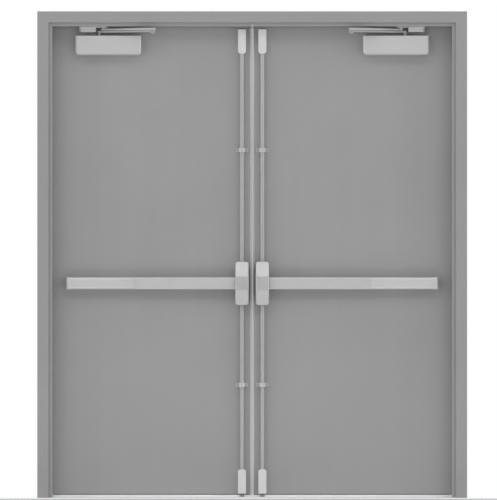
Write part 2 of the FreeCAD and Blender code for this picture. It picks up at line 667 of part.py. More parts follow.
def closer_form(inset):
    """The closer cover's block with rounded lower corners, drawn in by inset on every side but the back."""
    x0, x1 = CLOSER_X0 + inset, CLOSER_X0 + CLOSER_LENGTH - inset
    z0, z1 = CLOSER_TOP - CLOSER_HEIGHT + inset, CLOSER_TOP - inset
    y0 = LEAF_FRONT - CLOSER_DEPTH + inset
    block = slab(x0, x1, y0, LEAF_FRONT, z0, z1)
    lower = []
    for edge in block.Edges:
        ends = [vertex.Point for vertex in edge.Vertexes]
        if abs(ends[0].y - ends[-1].y) > 0.01 and abs(ends[0].z - z0) < 0.01:
            lower.append(edge)
    block = block.makeFillet(CLOSER_CORNER - inset, lower)
    front = [edge for edge in block.Edges if all(abs(v.Point.y - y0) < 0.01 for v in edge.Vertexes)
             and not all(abs(v.Point.z - z1) < 0.01 for v in edge.Vertexes)]
    return block.makeChamfer(CLOSER_BEVEL, front)


def closer_cover():
    """The thin cover over the closer, open at the back, with a notch for the pinion boss."""
    cover = closer_form(0).cut(closer_form(CLOSER_WALL))
    notch = BOSS_RADIUS + BOSS_CLEARANCE
    return cover.cut(slab(PINION_POINT.x - notch, PINION_POINT.x + notch, PINION_POINT.y - notch, LEAF_FRONT,
                          CLOSER_TOP - 2 * CLOSER_WALL, CLOSER_TOP + CLOSER_WALL))


def closer_body():
    """The casting under the cover, with the boss that carries the pinion."""
    x0, x1 = CLOSER_X0 + CASTING_INSET, CLOSER_X0 + CLOSER_LENGTH - CASTING_INSET
    z0, z1 = CLOSER_TOP - CLOSER_HEIGHT + CASTING_INSET, CLOSER_TOP - CASTING_INSET
    casting = slab(x0, x1, LEAF_FRONT - CASTING_DEPTH, LEAF_FRONT, z0, z1)
    casting = casting.fuse(rod(PINION_POINT.x, PINION_POINT.y, z1, CLOSER_TOP + ARM_GAP, BOSS_RADIUS))
    return casting.cut(rod(PINION_POINT.x, PINION_POINT.y, z0 + CASTING_INSET, CLOSER_TOP + CASTING_INSET,
                           PINION_RADIUS + PINION_CLEARANCE)).removeSplitter()


def link(a, b, radius_a, radius_b, z0, z1):
    """A flat bar with a round end at each of two pivots and straight sides that touch both ends."""
    along = b - a
    length = along.Length
    heading = math.atan2(along.y, along.x)
    lean = math.acos((radius_a - radius_b) / length)
    corners = []
    for centre, radius, sign in ((a, radius_a, 1), (b, radius_b, 1), (b, radius_b, -1), (a, radius_a, -1)):
        angle = heading + sign * lean
        corners.append(V(centre.x + radius * math.cos(angle), centre.y + radius * math.sin(angle), z0))
    bar = prism(corners, V(0, 0, z1 - z0))
    return bar.fuse(rod(a.x, a.y, z0, z1, radius_a)).fuse(rod(b.x, b.y, z0, z1, radius_b)).removeSplitter()


def hexagon(centre, z0, radius, height):
    """A six-sided nut, radius to its corners."""
    angles = [k * math.pi / 3 for k in range(6)]
    corners = [V(centre.x + radius * math.cos(a), centre.y + radius * math.sin(a), z0) for a in angles]
    return prism(corners, V(0, 0, height))


def closer_arm():
    """The main arm, one piece with the pinion that turns in the closer's boss."""
    arm = link(PINION_POINT, ELBOW_POINT, ARM_HUB_RADIUS, ELBOW_RADIUS, ARM_BOTTOM, ARM_TOP)
    pinion_foot = CLOSER_TOP - CLOSER_HEIGHT / 2
    arm = arm.fuse(rod(PINION_POINT.x, PINION_POINT.y, pinion_foot, ARM_TOP, PINION_RADIUS))
    return arm.cut(rod(ELBOW_POINT.x, ELBOW_POINT.y, ARM_BOTTOM, ARM_TOP,
                       ELBOW_STUD_RADIUS + ARM_CLEARANCE)).removeSplitter()


def closer_forearm():
    """The forearm, with the elbow stud that hangs through the main arm and the nut under it."""
    forearm = link(SHOE_POINT, ELBOW_POINT, ARM_HUB_RADIUS, ELBOW_RADIUS, FOREARM_BOTTOM, FOREARM_TOP)
    nut_top = ARM_BOTTOM - ARM_CLEARANCE
    forearm = forearm.fuse(rod(ELBOW_POINT.x, ELBOW_POINT.y, nut_top, FOREARM_BOTTOM, ELBOW_STUD_RADIUS))
    nut = hexagon(ELBOW_POINT, nut_top - ELBOW_NUT_HEIGHT, ELBOW_NUT_RADIUS, ELBOW_NUT_HEIGHT)
    forearm = forearm.fuse(nut)
    return forearm.cut(rod(SHOE_POINT.x, SHOE_POINT.y, FOREARM_BOTTOM, FOREARM_TOP,
                           SHOE_STUD_RADIUS + ARM_CLEARANCE)).removeSplitter()


def closer_shoe_solids():
    """The shoe under the head: a plate with the forearm's stud, and a block beside the links."""
    half = SHOE_WIDTH / 2
    x0, x1 = SHOE_POINT.x + half - SHOE_LENGTH, SHOE_POINT.x + half
    plate = slab(x0, x1, SHOE_POINT.y - half, SHOE_POINT.y + half, SOFFIT - SHOE_PLATE, SOFFIT)
    side = SHOE_BLOCK_WIDTH / 2
    block_end = PINION_POINT.x - ARM_HUB_RADIUS - SHOE_CLEARANCE
    block = slab(x0, block_end, SHOE_POINT.y - side, SHOE_POINT.y + side,
                 SOFFIT - SHOE_BLOCK_DEPTH, SOFFIT - SHOE_PLATE)
    ends = [(x0, SHOE_POINT.y - side), (x0, SHOE_POINT.y + side)]
    block = block.makeChamfer(SHOE_BLOCK_BEVEL, upright_edges(block, ends))
    stud = rod(SHOE_POINT.x, SHOE_POINT.y, FOREARM_BOTTOM, SOFFIT - SHOE_PLATE, SHOE_STUD_RADIUS)
    return [plate.fuse(stud).removeSplitter(), block]


def leaf_nodes():
    """Every piece that hangs on the left leaf, by the name it takes after left_ or right_."""
    return {
        "push_skin": leaf_skin(LEAF_FRONT, 1),
        "pull_skin": leaf_skin(LEAF_BACK, -1),
        "end_channels": Part.makeCompound(end_channels()),
        "door_hinge_leaves": Part.makeCompound(door_hinge_leaves()),
        "astragal": astragal(),
        "rail": rail(),
        "push_pad": push_pad(),
        "rail_cover": rail_cover(),
        "rail_end_cap": rail_end_cap(),
        "centre_case": centre_case(),
        "latch_cases": Part.makeCompound(latch_cases()),
        "top_bolt": top_bolt(),
        "bottom_bolt": bottom_bolt(),
        "top_rod": top_rod(),
        "bottom_rod": bottom_rod(),
        "rod_guides": Part.makeCompound(rod_guides()),
        "closer_cover": closer_cover(),
        "closer_body": closer_body(),
        "closer_arm": closer_arm(),
        "closer_forearm": closer_forearm(),
    }


def frame_nodes():
    """Every piece that stays still with the frame."""
    jamb = left_jamb()
    return {
        "left_jamb": jamb,
        "right_jamb": mirrored(jamb),
        "head_jamb": head_jamb(),
        "threshold": threshold(),
        "sill_lip": sill_lip(),
        "floor_clips": both_sides([floor_clip()]),
        "wall_straps": both_sides(wall_straps()),
        "top_strikes": both_sides([top_strike()]),
        "floor_strikes": both_sides([floor_strike()]),
        "frame_hinge_leaves": both_sides(frame_hinge_leaves()),
        "closer_shoes": both_sides(closer_shoe_solids()),
    }


def main():
    """Builds every node and writes it to its own file."""
    os.makedirs("parts", exist_ok=True)
    nodes = frame_nodes()
    for name, shape in leaf_nodes().items():
        nodes["left_" + name] = shape
        nodes["right_" + name] = mirrored(shape)
    for name, shape in nodes.items():
        shape.exportStep(os.path.join("parts", name + ".step"))


main()
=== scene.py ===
"""Looks of a pair of steel exit doors: finishes, fasteners, seals, studio light and camera.

Each sub-assembly is a class. It gives its solids their finishes and adds the small pieces that ride
with them. All lengths are metres, in the frame of the solids: X along the opening, Z up, the push side
faces -Y.
"""
import logging
import math
from dataclasses import dataclass
from enum import Enum
from typing import ClassVar, Protocol

import bmesh
import bpy
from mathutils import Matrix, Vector


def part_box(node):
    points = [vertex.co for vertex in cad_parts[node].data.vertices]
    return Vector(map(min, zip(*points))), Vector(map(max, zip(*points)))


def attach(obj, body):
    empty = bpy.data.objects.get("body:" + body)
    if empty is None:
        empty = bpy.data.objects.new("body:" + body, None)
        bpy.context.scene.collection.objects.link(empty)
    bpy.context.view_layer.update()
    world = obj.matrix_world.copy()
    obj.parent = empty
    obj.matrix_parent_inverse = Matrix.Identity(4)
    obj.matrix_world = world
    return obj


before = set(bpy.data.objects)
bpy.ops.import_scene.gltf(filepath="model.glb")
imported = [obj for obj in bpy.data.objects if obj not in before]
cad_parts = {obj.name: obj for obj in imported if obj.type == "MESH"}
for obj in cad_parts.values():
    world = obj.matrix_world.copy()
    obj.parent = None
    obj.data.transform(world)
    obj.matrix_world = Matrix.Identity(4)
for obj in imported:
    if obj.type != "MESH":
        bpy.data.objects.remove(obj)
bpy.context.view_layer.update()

LOG = logging.getLogger("door")
MM = 0.001
UP = Vector((0, 0, 1))
DOWN = -UP
TO_PUSH_SIDE = Vector((0, -1, 0))
WHITE = (1, 1, 1, 1)

Colour = tuple[float, float, float]
Point = tuple[float, float, float]
Span = tuple[float, float]
Stretch = tuple[float, float, float]
Spot = tuple[Vector, Vector]
Socket = bpy.types.NodeSocket

EVEN: Stretch = (1.0, 1.0, 1.0)


class Slot(Enum):
    """The material slots of the record."""

    LEAF_PAINT = "leaf_paint"
    FRAME_PAINT = "frame_paint"
    MILL_ALUMINIUM = "mill_aluminium"
    ZINC_STEEL = "zinc_steel"
    SATIN_STEEL = "satin_steel"
    DARK_STEEL = "dark_steel"
    DEVICE_SILVER = "device_silver"
    ROD_STEEL = "rod_steel"
    CLOSER_PAINT = "closer_paint"
    CLOSER_CASTING = "closer_casting"


class Grain(Enum):
    """The way that a metal was drawn or brushed, as the stretch of its streaks."""

    ALONG_X = (0.02, 1.0, 1.0)
    ALONG_Z = (1.0, 1.0, 0.02)


class Side(Enum):
    """One leaf of the pair, seen from the push side."""

    LEFT = "left"
    RIGHT = "right"

    def named(self, piece: str) -> str:
        """A piece's name with its side in front."""
        return f"{self.value}_{piece}"

    def at(self, x: float, y: float, z: float) -> Vector:
        """A point given for the left leaf, moved to this side."""
        return Vector((x if self is Side.LEFT else -x, y, z))


def shade(level: float) -> Colour:
    """A neutral grey as a screen shows it, made linear by the screen's standard curve.

    Args:
        level: Brightness from 0 to 255.

    Returns:
        The linear red, green and blue.
    """
    share = level / 255
    linear = share / 12.92 if share <= 0.04045 else ((share + 0.055) / 1.055) ** 2.4
    return linear, linear, linear


def face_y() -> float:
    """The y of the frame's face on the push side."""
    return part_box("head_jamb")[0][1]


class Graph:
    """A node tree, with short calls that add nodes and feed their inputs."""

    def __init__(self, tree: bpy.types.NodeTree) -> None:
        """Takes the tree to work in."""
        self.tree = tree

    def node(self, kind: str, **inputs: object) -> bpy.types.Node:
        """A new node.

        Args:
            kind: The node's type.
            inputs: Values, or sockets to link, for its inputs, with _ for a space in the input's name.

        Returns:
            The node.
        """
        made = self.tree.nodes.new(kind)
        for name, value in inputs.items():
            self.feed(made.inputs[name.replace("_", " ")], value)
        return made

    def feed(self, socket: Socket, value: object) -> None:
        """Links a socket to an input, or sets a plain value on it.

        Args:
            socket: The input.
            value: A socket or a plain value.
        """
        if isinstance(value, Socket):
            self.tree.links.new(value, socket)
        else:
            socket.default_value = value

    def maths(self, operation: str, first: object, second: object) -> Socket:
        """Two values worked out together.

        Args:
            operation: What is done with them.
            first: A socket or a number.
            second: A socket or a number.

        Returns:
            The result.
        """
        made = self.node("ShaderNodeMath")
        made.operation = operation
        self.feed(made.inputs[0], first)
        self.feed(made.inputs[1], second)
        return made.outputs[0]

    def product(self, *values: Socket) -> Socket:
        """Values multiplied together.

        Args:
            values: The values, one or more.

        Returns:
            Their product.
        """
        total = values[0]
        for value in values[1:]:
            total = self.maths("MULTIPLY", total, value)
        return total

    def mixed(self, share: Socket, first: Socket, second: Socket) -> Socket:
        """Two shaders mixed.

        Args:
            share: How much of the second one shows.
            first: The shader at a share of 0.
            second: The shader at a share of 1.

        Returns:
            The mixed shader.
        """
        made = self.node("ShaderNodeMixShader", Fac=share)
        self.feed(made.inputs[1], first)
        self.feed(made.inputs[2], second)
        return made.outputs[0]

    def seen_directly(self) -> Socket:
        """What the eye meets straight on or in a reflection.

        Returns:
            1 for rays from the camera, mirrored or through glass, and 0 for the light on surfaces.
        """
        path = self.node("ShaderNodeLightPath").outputs
        seen = self.maths("MAXIMUM", path["Is Camera Ray"], path["Is Glossy Ray"])
        return self.maths("MAXIMUM", seen, path["Is Transmission Ray"])


class Surface(Graph):
    """One material's node tree, with short calls for the nodes that the finishes share."""

    def __init__(self, name: str) -> None:
        """Starts a material with one shader.

        Args:
            name: The material's name.
        """
        self.material = bpy.data.materials.new(name)
        self.material.use_nodes = True
        super().__init__(self.material.node_tree)
        self.shader = self.tree.nodes["Principled BSDF"]
        self.place = self.node("ShaderNodeTexCoord").outputs["Object"]

    def give(self, name: str, value: object) -> None:
        """Feeds one of the shader's inputs."""
        self.feed(self.shader.inputs[name], value)

    def noise(self, per_metre: float, detail: float = 3.0, stretch: Stretch = EVEN) -> Socket:
        """Soft noise in the object's own coordinates.

        Args:
            per_metre: How many features fit in a metre.
            detail: How many finer layers it has.
            stretch: Scale along each axis, where a small value draws the features out.

        Returns:
            A value about 0.5.
        """
        drawn = self.node("ShaderNodeMapping", Vector=self.place, Scale=stretch)
        made = self.node("ShaderNodeTexNoise", Vector=drawn.outputs[0], Scale=per_metre, Detail=detail)
        return made.outputs[0]

    def spread(self, value: Socket, low: float, high: float, start: float = 0.3, end: float = 0.7) -> Socket:
        """A value moved from one range to another, and held at its ends.

        Args:
            value: What to move.
            low: The result at start.
            high: The result at end.
            start: Where the old range begins.
            end: Where the old range ends.

        Returns:
            The moved value.
        """
        made = self.node("ShaderNodeMapRange", Value=value, From_Min=start, From_Max=end)
        self.feed(made.inputs["To Min"], low)
        self.feed(made.inputs["To Max"], high)
        return made.outputs[0]

    def about(self, middle: float, value: Socket, change: float) -> Socket:
        """A noise moved to the range from middle - change to middle + change."""
        return self.spread(value, middle - change, middle + change)

    def tinted(self, colour: Colour, amount: Socket) -> Socket:
        """A colour made lighter or darker.

        Args:
            colour: The colour at an amount of 1.
            amount: What it is multiplied by.

        Returns:
            The tinted colour.
        """
        made = self.node("ShaderNodeVectorMath")
        made.operation = "SCALE"
        self.feed(made.inputs[0], colour)
        self.feed(made.inputs["Scale"], amount)
        return made.outputs[0]

    def bump(self, height: Socket, depth: float, below: Socket | None = None) -> Socket:
        """A surface raised by a height.

        Args:
            height: A value from 0 to 1.
            depth: How far 1 stands above 0, in metres.
            below: The normal that the bump goes on, if it isn't the plain one.

        Returns:
            The new normal.
        """
        made = self.node("ShaderNodeBump", Height=height, Distance=depth)
        if below is not None:
            self.feed(made.inputs["Normal"], below)
        return made.outputs[0]


@dataclass(frozen=True)
class Finish:
    """A surface finish: what every one of them has."""

    name: str
    slot: Slot
    colour: Colour
    roughness: float
    metallic: float = 0.0

    def material(self) -> bpy.types.Material:
        """The finish's material, made when it is first asked for.

        Returns:
            The material.
        """
        known = bpy.data.materials.get(self.name)
        if known is not None:
            return known
        surface = Surface(self.name)
        surface.give("Metallic", self.metallic)
        self.work(surface)
        return surface.material

    def work(self, surface: Surface) -> None:
        """Gives the surface its colour, roughness and relief."""
        raise NotImplementedError

    def colour_by(self, surface: Surface, *amounts: Socket) -> None:
        """The base colour, varied by the amounts multiplied together."""
        surface.give("Base Color", surface.tinted(self.colour, surface.product(*amounts)))

    def roughness_by(self, surface: Surface, value: Socket, change: float) -> None:
        """The roughness, varied up and down by a change."""
        surface.give("Roughness", surface.about(self.roughness, value, change))


@dataclass(frozen=True)
class SprayedSteel(Finish):
    """Sheet steel under sprayed enamel: faint clouds and runs, orange peel, and the sheet's slight waves."""

    cloud: float = 0.025
    clouds_per_metre: float = 2.2
    run: float = 0.0125
    runs_per_metre: float = 14.0
    run_stretch: Stretch = (1.0, 1.0, 0.06)
    speck: float = 0.015
    specks_per_metre: float = 420.0
    sheen: float = 0.05
    sheen_per_metre: float = 6.0
    wave_depth: float = 1.2 * MM
    waves_per_metre: float = 2.6
    peel_depth: float = 0.12 * MM
    peel_per_metre: float = 380.0

    def work(self, surface: Surface) -> None:
        """Clouds, runs and specks in the colour, orange peel over long waves in the relief.

        Args:
            surface: The surface to work on.
        """
        clouds = surface.noise(self.clouds_per_metre, detail=4.0)
        runs = surface.noise(self.runs_per_metre, stretch=self.run_stretch)
        specks = surface.noise(self.specks_per_metre, detail=1.0)
        self.colour_by(surface, surface.about(1, clouds, self.cloud), surface.about(1, runs, self.run),
                       surface.about(1, specks, self.speck))
        self.roughness_by(surface, surface.noise(self.sheen_per_metre), self.sheen)
        waves = surface.bump(surface.noise(self.waves_per_metre, detail=1.0), self.wave_depth)
        peel = surface.noise(self.peel_per_metre, detail=2.0)
        surface.give("Normal", surface.bump(peel, self.peel_depth, waves))


@dataclass(frozen=True)
class SilverLacquer(Finish):
    """Metallic lacquer on a casting or an extrusion: fine flakes, and a sheen left uneven by hands."""

    flake: float = 0.05
    flakes_per_metre: float = 1600.0
    cloud: float = 0.02
    clouds_per_metre: float = 9.0
    sheen: float = 0.06
    sheen_per_metre: float = 22.0
    grain_depth: float = 0.04 * MM
    grains_per_metre: float = 900.0

    def work(self, surface: Surface) -> None:
        """Flakes in the colour, clouds in the sheen, a fine grain in the relief.

        Args:
            surface: The surface to work on.
        """
        flakes = surface.noise(self.flakes_per_metre, detail=1.0)
        clouds = surface.noise(self.clouds_per_metre)
        self.colour_by(surface, surface.about(1, flakes, self.flake), surface.about(1, clouds, self.cloud))
        self.roughness_by(surface, surface.noise(self.sheen_per_metre, detail=4.0), self.sheen)
        grains = surface.noise(self.grains_per_metre, detail=2.0)
        surface.give("Normal", surface.bump(grains, self.grain_depth))


@dataclass(frozen=True)
class DrawnMetal(Finish):
    """Bare metal with the streaks of drawing or brushing along one axis."""

    grain: Grain = Grain.ALONG_X
    streak: float = 0.08
    streak_depth: float = 0.03 * MM
    streaks_per_metre: float = 700.0
    cloud: float = 0.03
    clouds_per_metre: float = 11.0
    sheen: float = 0.08

    def work(self, surface: Surface) -> None:
        """Streaks in the colour, the sheen and the relief.

        Args:
            surface: The surface to work on.
        """
        streaks = surface.noise(self.streaks_per_metre, stretch=self.grain.value)
        clouds = surface.noise(self.clouds_per_metre)
        self.colour_by(surface, surface.about(1, streaks, self.streak), surface.about(1, clouds, self.cloud))
        self.roughness_by(surface, streaks, self.sheen)
        surface.give("Normal", surface.bump(streaks, self.streak_depth))


@dataclass(frozen=True)
class RoughMetal(Finish):
    """Cast or plated metal: a grainy skin with patches."""

    patch: float = 0.12
    patches_per_metre: float = 60.0
    sheen: float = 0.1
    grain_depth: float = 0.12 * MM
    grains_per_metre: float = 500.0

    def work(self, surface: Surface) -> None:
        """Patches in the colour and the sheen, a coarse grain in the relief.

        Args:
            surface: The surface to work on.
        """
        patches = surface.noise(self.patches_per_metre, detail=2.0)
        self.colour_by(surface, surface.about(1, patches, self.patch))
        self.roughness_by(surface, patches, self.sheen)
        surface.give("Normal", surface.bump(surface.noise(self.grains_per_metre), self.grain_depth))


@dataclass(frozen=True)
class SealRubber(Finish):
    """Extruded seal rubber: matt, with dust along its length."""

    dust: float = 0.06
    dust_per_metre: float = 160.0
    dust_stretch: Stretch = (1.0, 1.0, 0.1)
    sheen: float = 0.08
    grain_depth: float = 0.05 * MM
    grains_per_metre: float = 700.0

    def work(self, surface: Surface) -> None:
        """Dust in the colour and a fine grain in the relief.

        Args:
            surface: The surface to work on.
        """
        dust = surface.noise(self.dust_per_metre, stretch=self.dust_stretch)
        self.colour_by(surface, surface.about(1, dust, self.dust))
        self.roughness_by(surface, dust, self.sheen)
        surface.give("Normal", surface.bump(surface.noise(self.grains_per_metre), self.grain_depth))


LEAF_ENAMEL = SprayedSteel("leaf_enamel", Slot.LEAF_PAINT, shade(155), roughness=0.46)
FRAME_ENAMEL = SprayedSteel("frame_enamel", Slot.FRAME_PAINT, shade(150), roughness=0.46)
PAD_SILVER = SilverLacquer("pad_silver", Slot.DEVICE_SILVER, shade(200), roughness=0.4, metallic=0.3)
# The cover and end cap get a lighter silver than the pad: partly their own tone as a separate part, partly
# painted highlight for the cover's bright rims.
COVER_SILVER_PAINTED_HIGHLIGHT = SilverLacquer("cover_silver_painted_highlight", Slot.DEVICE_SILVER, shade(207), roughness=0.4, metallic=0.3)
CASE_SILVER = SilverLacquer("case_silver", Slot.DEVICE_SILVER, shade(190), roughness=0.4, metallic=0.35)
GUIDE_SILVER = SilverLacquer("guide_silver", Slot.DEVICE_SILVER, shade(192), roughness=0.42, metallic=0.25)
LATCH_SILVER = SilverLacquer("latch_silver", Slot.DEVICE_SILVER, shade(213), roughness=0.45, metallic=0.25)
CLOSER_SILVER = SilverLacquer("closer_silver", Slot.CLOSER_PAINT, shade(194), roughness=0.42, metallic=0.4)
# Painted light: the shoes' silver is lighter than the closer's own, to make up for the shade under the head
# where they sit.
SHOE_SILVER_PAINTED_LIGHT = SilverLacquer("shoe_silver_painted_light", Slot.CLOSER_PAINT, shade(206), roughness=0.42, metallic=0.4)
# Painted shade: the main arm's silver is much darker than the closer's and the forearm's, to stand for the
# shade on the lower arm.
ARM_SILVER_PAINTED_SHADE = SilverLacquer("arm_silver_painted_shade", Slot.CLOSER_PAINT, shade(153), roughness=0.45, metallic=0.4)
FOREARM_SILVER = SilverLacquer("forearm_silver", Slot.CLOSER_PAINT, shade(176), roughness=0.45, metallic=0.4)
CLOSER_CAST = RoughMetal("closer_cast", Slot.CLOSER_CASTING, shade(120), roughness=0.55, metallic=0.6)
ROD_SATIN = DrawnMetal("rod_satin", Slot.ROD_STEEL, shade(171), roughness=0.4, metallic=0.25,
                       grain=Grain.ALONG_Z)
EDGE_ALUMINIUM = DrawnMetal("edge_aluminium", Slot.MILL_ALUMINIUM, shade(201), roughness=0.42, metallic=0.5,
                            grain=Grain.ALONG_Z)
# The threshold's mill aluminium is much lighter than the astragal's: partly the bare metal's pale tone,
# partly painted light that makes up for the shade near the floor.
SILL_ALUMINIUM_PAINTED_LIGHT = DrawnMetal("sill_aluminium_painted_light", Slot.MILL_ALUMINIUM, shade(245), roughness=0.42, metallic=0.3,
                            grain=Grain.ALONG_X)
HINGE_SATIN = DrawnMetal("hinge_satin", Slot.SATIN_STEEL, shade(175), roughness=0.36, metallic=0.9,
                         grain=Grain.ALONG_Z)
STRIKE_SATIN = DrawnMetal("strike_satin", Slot.DARK_STEEL, shade(160), roughness=0.42, metallic=0.6,
                          grain=Grain.ALONG_X)
SCREW_STEEL = RoughMetal("screw_steel", Slot.SATIN_STEEL, shade(185), roughness=0.38, metallic=0.9,
                         patch=0.05, patches_per_metre=200.0, grain_depth=0.02 * MM)
LATCH_STEEL = RoughMetal("latch_steel", Slot.DARK_STEEL, shade(110), roughness=0.5, metallic=0.8,
                         patch=0.1, patches_per_metre=120.0, grain_depth=0.03 * MM)
ANCHOR_ZINC = RoughMetal("anchor_zinc", Slot.ZINC_STEEL, shade(180), roughness=0.5, metallic=0.8,
                         patch=0.16, patches_per_metre=70.0, grain_depth=0.03 * MM)
EDGE_SEAL = SealRubber("edge_seal", Slot.MILL_ALUMINIUM, shade(165), roughness=0.75)
SWEEP_SEAL = SealRubber("sweep_seal", Slot.LEAF_PAINT, shade(140), roughness=0.75)


def dress(finishes: dict[str, Finish], side: Side | None = None) -> None:
    """Gives solids their finishes.

    Args:
        finishes: Each solid's name with its finish.
        side: The side that goes in front of the names, where they have one.
    """
    for name, finish in finishes.items():
        node = name if side is None else side.named(name)
        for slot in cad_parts[node].material_slots:
            slot.material = finish.material()


def settle(piece: bpy.types.Object, body: str) -> bpy.types.Object:
    """Makes a finished piece ride on its body.

    Args:
        piece: The piece, in place.
        body: The body that carries it.

    Returns:
        The same piece.
    """
    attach(piece, body)
    return piece


def new_object(name: str, mesh: bpy.types.Mesh) -> bpy.types.Object:
    """An object at the origin in the scene.

    Args:
        name: The piece's name.
        mesh: Its mesh, with its place in its vertices.

    Returns:
        The object.
    """
    made = bpy.data.objects.new(name, mesh)
    bpy.context.scene.collection.objects.link(made)
    return made


def extruded(name: str, outline: list[Vector], along: Vector, finish: Finish) -> bpy.types.Object:
    """A closed bar of one section.

    Args:
        name: The piece's name.
        outline: The section's corners in order, at the bar's start.
        along: From the bar's start to its end.
        finish: Its finish.

    Returns:
        The bar.
    """
    mesh = bmesh.new()
    start, end = ([mesh.verts.new(corner + step) for corner in outline] for step in (Vector(), along))
    for i, corner in enumerate(start):
        mesh.faces.new((start[i - 1], corner, end[i], end[i - 1]))
    for ring in (start, end):
        mesh.faces.new(ring)
    bmesh.ops.recalc_face_normals(mesh, faces=mesh.faces)
    data = bpy.data.meshes.new(name)
    mesh.to_mesh(data)
    mesh.free()
    data.materials.append(finish.material())
    return new_object(name, data)


class HeadTree(Graph):
    """The node tree that puts a domed screw head with a socket on every point."""

    NAME = "fastener_heads"
    FACING = "facing"
    INPUTS = {"Points": "Geometry", "Radius": "Float", "Height": "Float", "Socket Share": "Float",
              "Socket Depth": "Float", "Sides": "Int", "Seed": "Int", "Finish": "Material"}
    WALL_SHARE = 0.5
    DOME_SHARE = 0.78
    SOCKET_TAPER = 0.9
    WELD_DISTANCE = 0.01 * MM
    ROLL_LIMIT = 3
    ROLL_ANGLE = 1

    @classmethod
    def ready(cls) -> bpy.types.NodeTree:
        """The tree, grown when it is first asked for."""
        known = bpy.data.node_groups.get(cls.NAME)
        return known if known is not None else cls().grown()

    def __init__(self) -> None:
        """Starts a tree with inputs for the head's sizes, its seed and its finish."""
        super().__init__(bpy.data.node_groups.new(self.NAME, "GeometryNodeTree"))
        for name, kind in self.INPUTS.items():
            self.tree.interface.new_socket(name, in_out="INPUT", socket_type=f"NodeSocket{kind}")
        self.tree.interface.new_socket("Heads", in_out="OUTPUT", socket_type="NodeSocketGeometry")
        self.given = self.node("NodeGroupInput").outputs

    def raised(self, mesh: Socket, chosen: Socket | None, rise: object,
               share: object) -> tuple[Socket, Socket]:
        """Lifts a face out of a mesh and scales it.

        Args:
            mesh: The mesh.
            chosen: The face, or None where the mesh has only one.
            rise: How far the face goes up, as a socket or a number.
            share: Its new size against the old one, as a socket or a number.

        Returns:
            The new mesh and the lifted face.
        """
        lift = self.node("GeometryNodeExtrudeMesh", Mesh=mesh, Offset_Scale=rise)
        if chosen is not None:
            self.feed(lift.inputs["Selection"], chosen)
        top = lift.outputs["Top"]
        scaled = self.node("GeometryNodeScaleElements", Geometry=lift.outputs["Mesh"], Selection=top,
                           Scale=share)
        return scaled.outputs["Geometry"], top

    def head(self) -> Socket:
        """One closed head that stands on the origin: wall, dome, rim and socket.

        Returns:
            Its mesh.
        """
        wall_rise = self.maths("MULTIPLY", self.given["Height"], self.WALL_SHARE)
        dome_rise = self.maths("MULTIPLY", self.given["Height"], 1 - self.WALL_SHARE)
        socket_rise = self.maths("MULTIPLY", self.given["Socket Depth"], -1.0)
        disc = self.node("GeometryNodeMeshCircle", Vertices=self.given["Sides"], Radius=self.given["Radius"])
        disc.fill_type = "NGON"
        wall, top = self.raised(disc.outputs["Mesh"], None, wall_rise, 1.0)
        dome, top = self.raised(wall, top, dome_rise, self.DOME_SHARE)
        rim, top = self.raised(dome, top, 0.0, self.given["Socket Share"])
        sunk, _ = self.raised(rim, top, socket_rise, self.SOCKET_TAPER)
        under = self.node("GeometryNodeFlipFaces", Mesh=disc.outputs["Mesh"])
        closed = self.node("GeometryNodeJoinGeometry")
        for part in (sunk, under.outputs["Mesh"]):
            self.feed(closed.inputs[0], part)
        welded = self.node("GeometryNodeMergeByDistance", Geometry=closed.outputs[0],
                           Distance=self.WELD_DISTANCE)
        return welded.outputs["Geometry"]

    def turn(self) -> Socket:
        """The way that each head faces, with a chance roll about its own axis.

        Returns:
            A rotation for every point.
        """
        facing = self.node("GeometryNodeInputNamedAttribute")
        facing.data_type = "FLOAT_VECTOR"
        self.feed(facing.inputs["Name"], self.FACING)
        aimed = self.node("FunctionNodeAlignRotationToVector", Vector=facing.outputs["Attribute"])
        roll = self.node("FunctionNodeRandomValue", Seed=self.given["Seed"])
        self.feed(roll.inputs[self.ROLL_LIMIT], math.tau)
        spin = self.node("FunctionNodeAxisAngleToRotation", Axis=UP, Angle=roll.outputs[self.ROLL_ANGLE])
        turned = self.node("FunctionNodeRotateRotation", Rotation=aimed.outputs["Rotation"],
                           Rotate_By=spin.outputs["Rotation"])
        turned.rotation_space = "LOCAL"
        return turned.outputs["Rotation"]

    def grown(self) -> bpy.types.NodeTree:
        """Puts a head on every point, makes the heads real and gives them their finish.

        Returns:
            The whole tree.
        """
        placed = self.node("GeometryNodeInstanceOnPoints", Points=self.given["Points"], Instance=self.head(),
                           Rotation=self.turn())
        real = self.node("GeometryNodeRealizeInstances", Geometry=placed.outputs["Instances"])
        dressed = self.node("GeometryNodeSetMaterial", Geometry=real.outputs["Geometry"],
                            Material=self.given["Finish"])
        self.node("NodeGroupOutput", Heads=dressed.outputs["Geometry"])
        return self.tree


